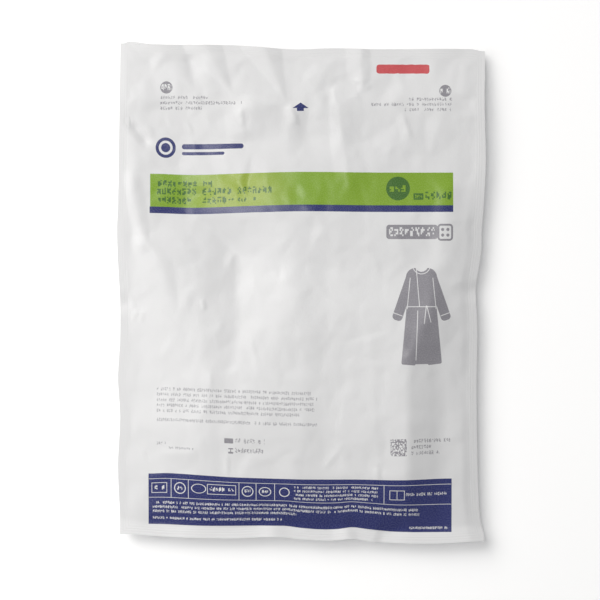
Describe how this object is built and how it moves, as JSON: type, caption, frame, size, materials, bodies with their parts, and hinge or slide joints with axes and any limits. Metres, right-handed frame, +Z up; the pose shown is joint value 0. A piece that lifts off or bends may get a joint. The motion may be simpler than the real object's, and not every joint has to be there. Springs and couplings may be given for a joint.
{
  "type": "sealed surgical gown pouch",
  "caption": "Sealed flat film pouch lying on its back, creased over the folded surgical gown that it holds, with an empty wavy header above it.",
  "frame": {"origin": "centre of the pouch's box, on the surface that it lies on", "axes": "+Z up out of the printed front web, +Y along the pouch to its empty header, +X across it to the right of someone looking down on it"},
  "size_m": [0.305, 0.4157, 0.0254],
  "materials": {
    "front_film": null,
    "back_film": "plain white satin film",
    "gown_fabric": "soft grey nonwoven"
  },
  "bodies": {
    "root": {"front_web": "front_film", "back_web": "back_film", "folded_gown": "gown_fabric"}
  },
  "joints": []
}
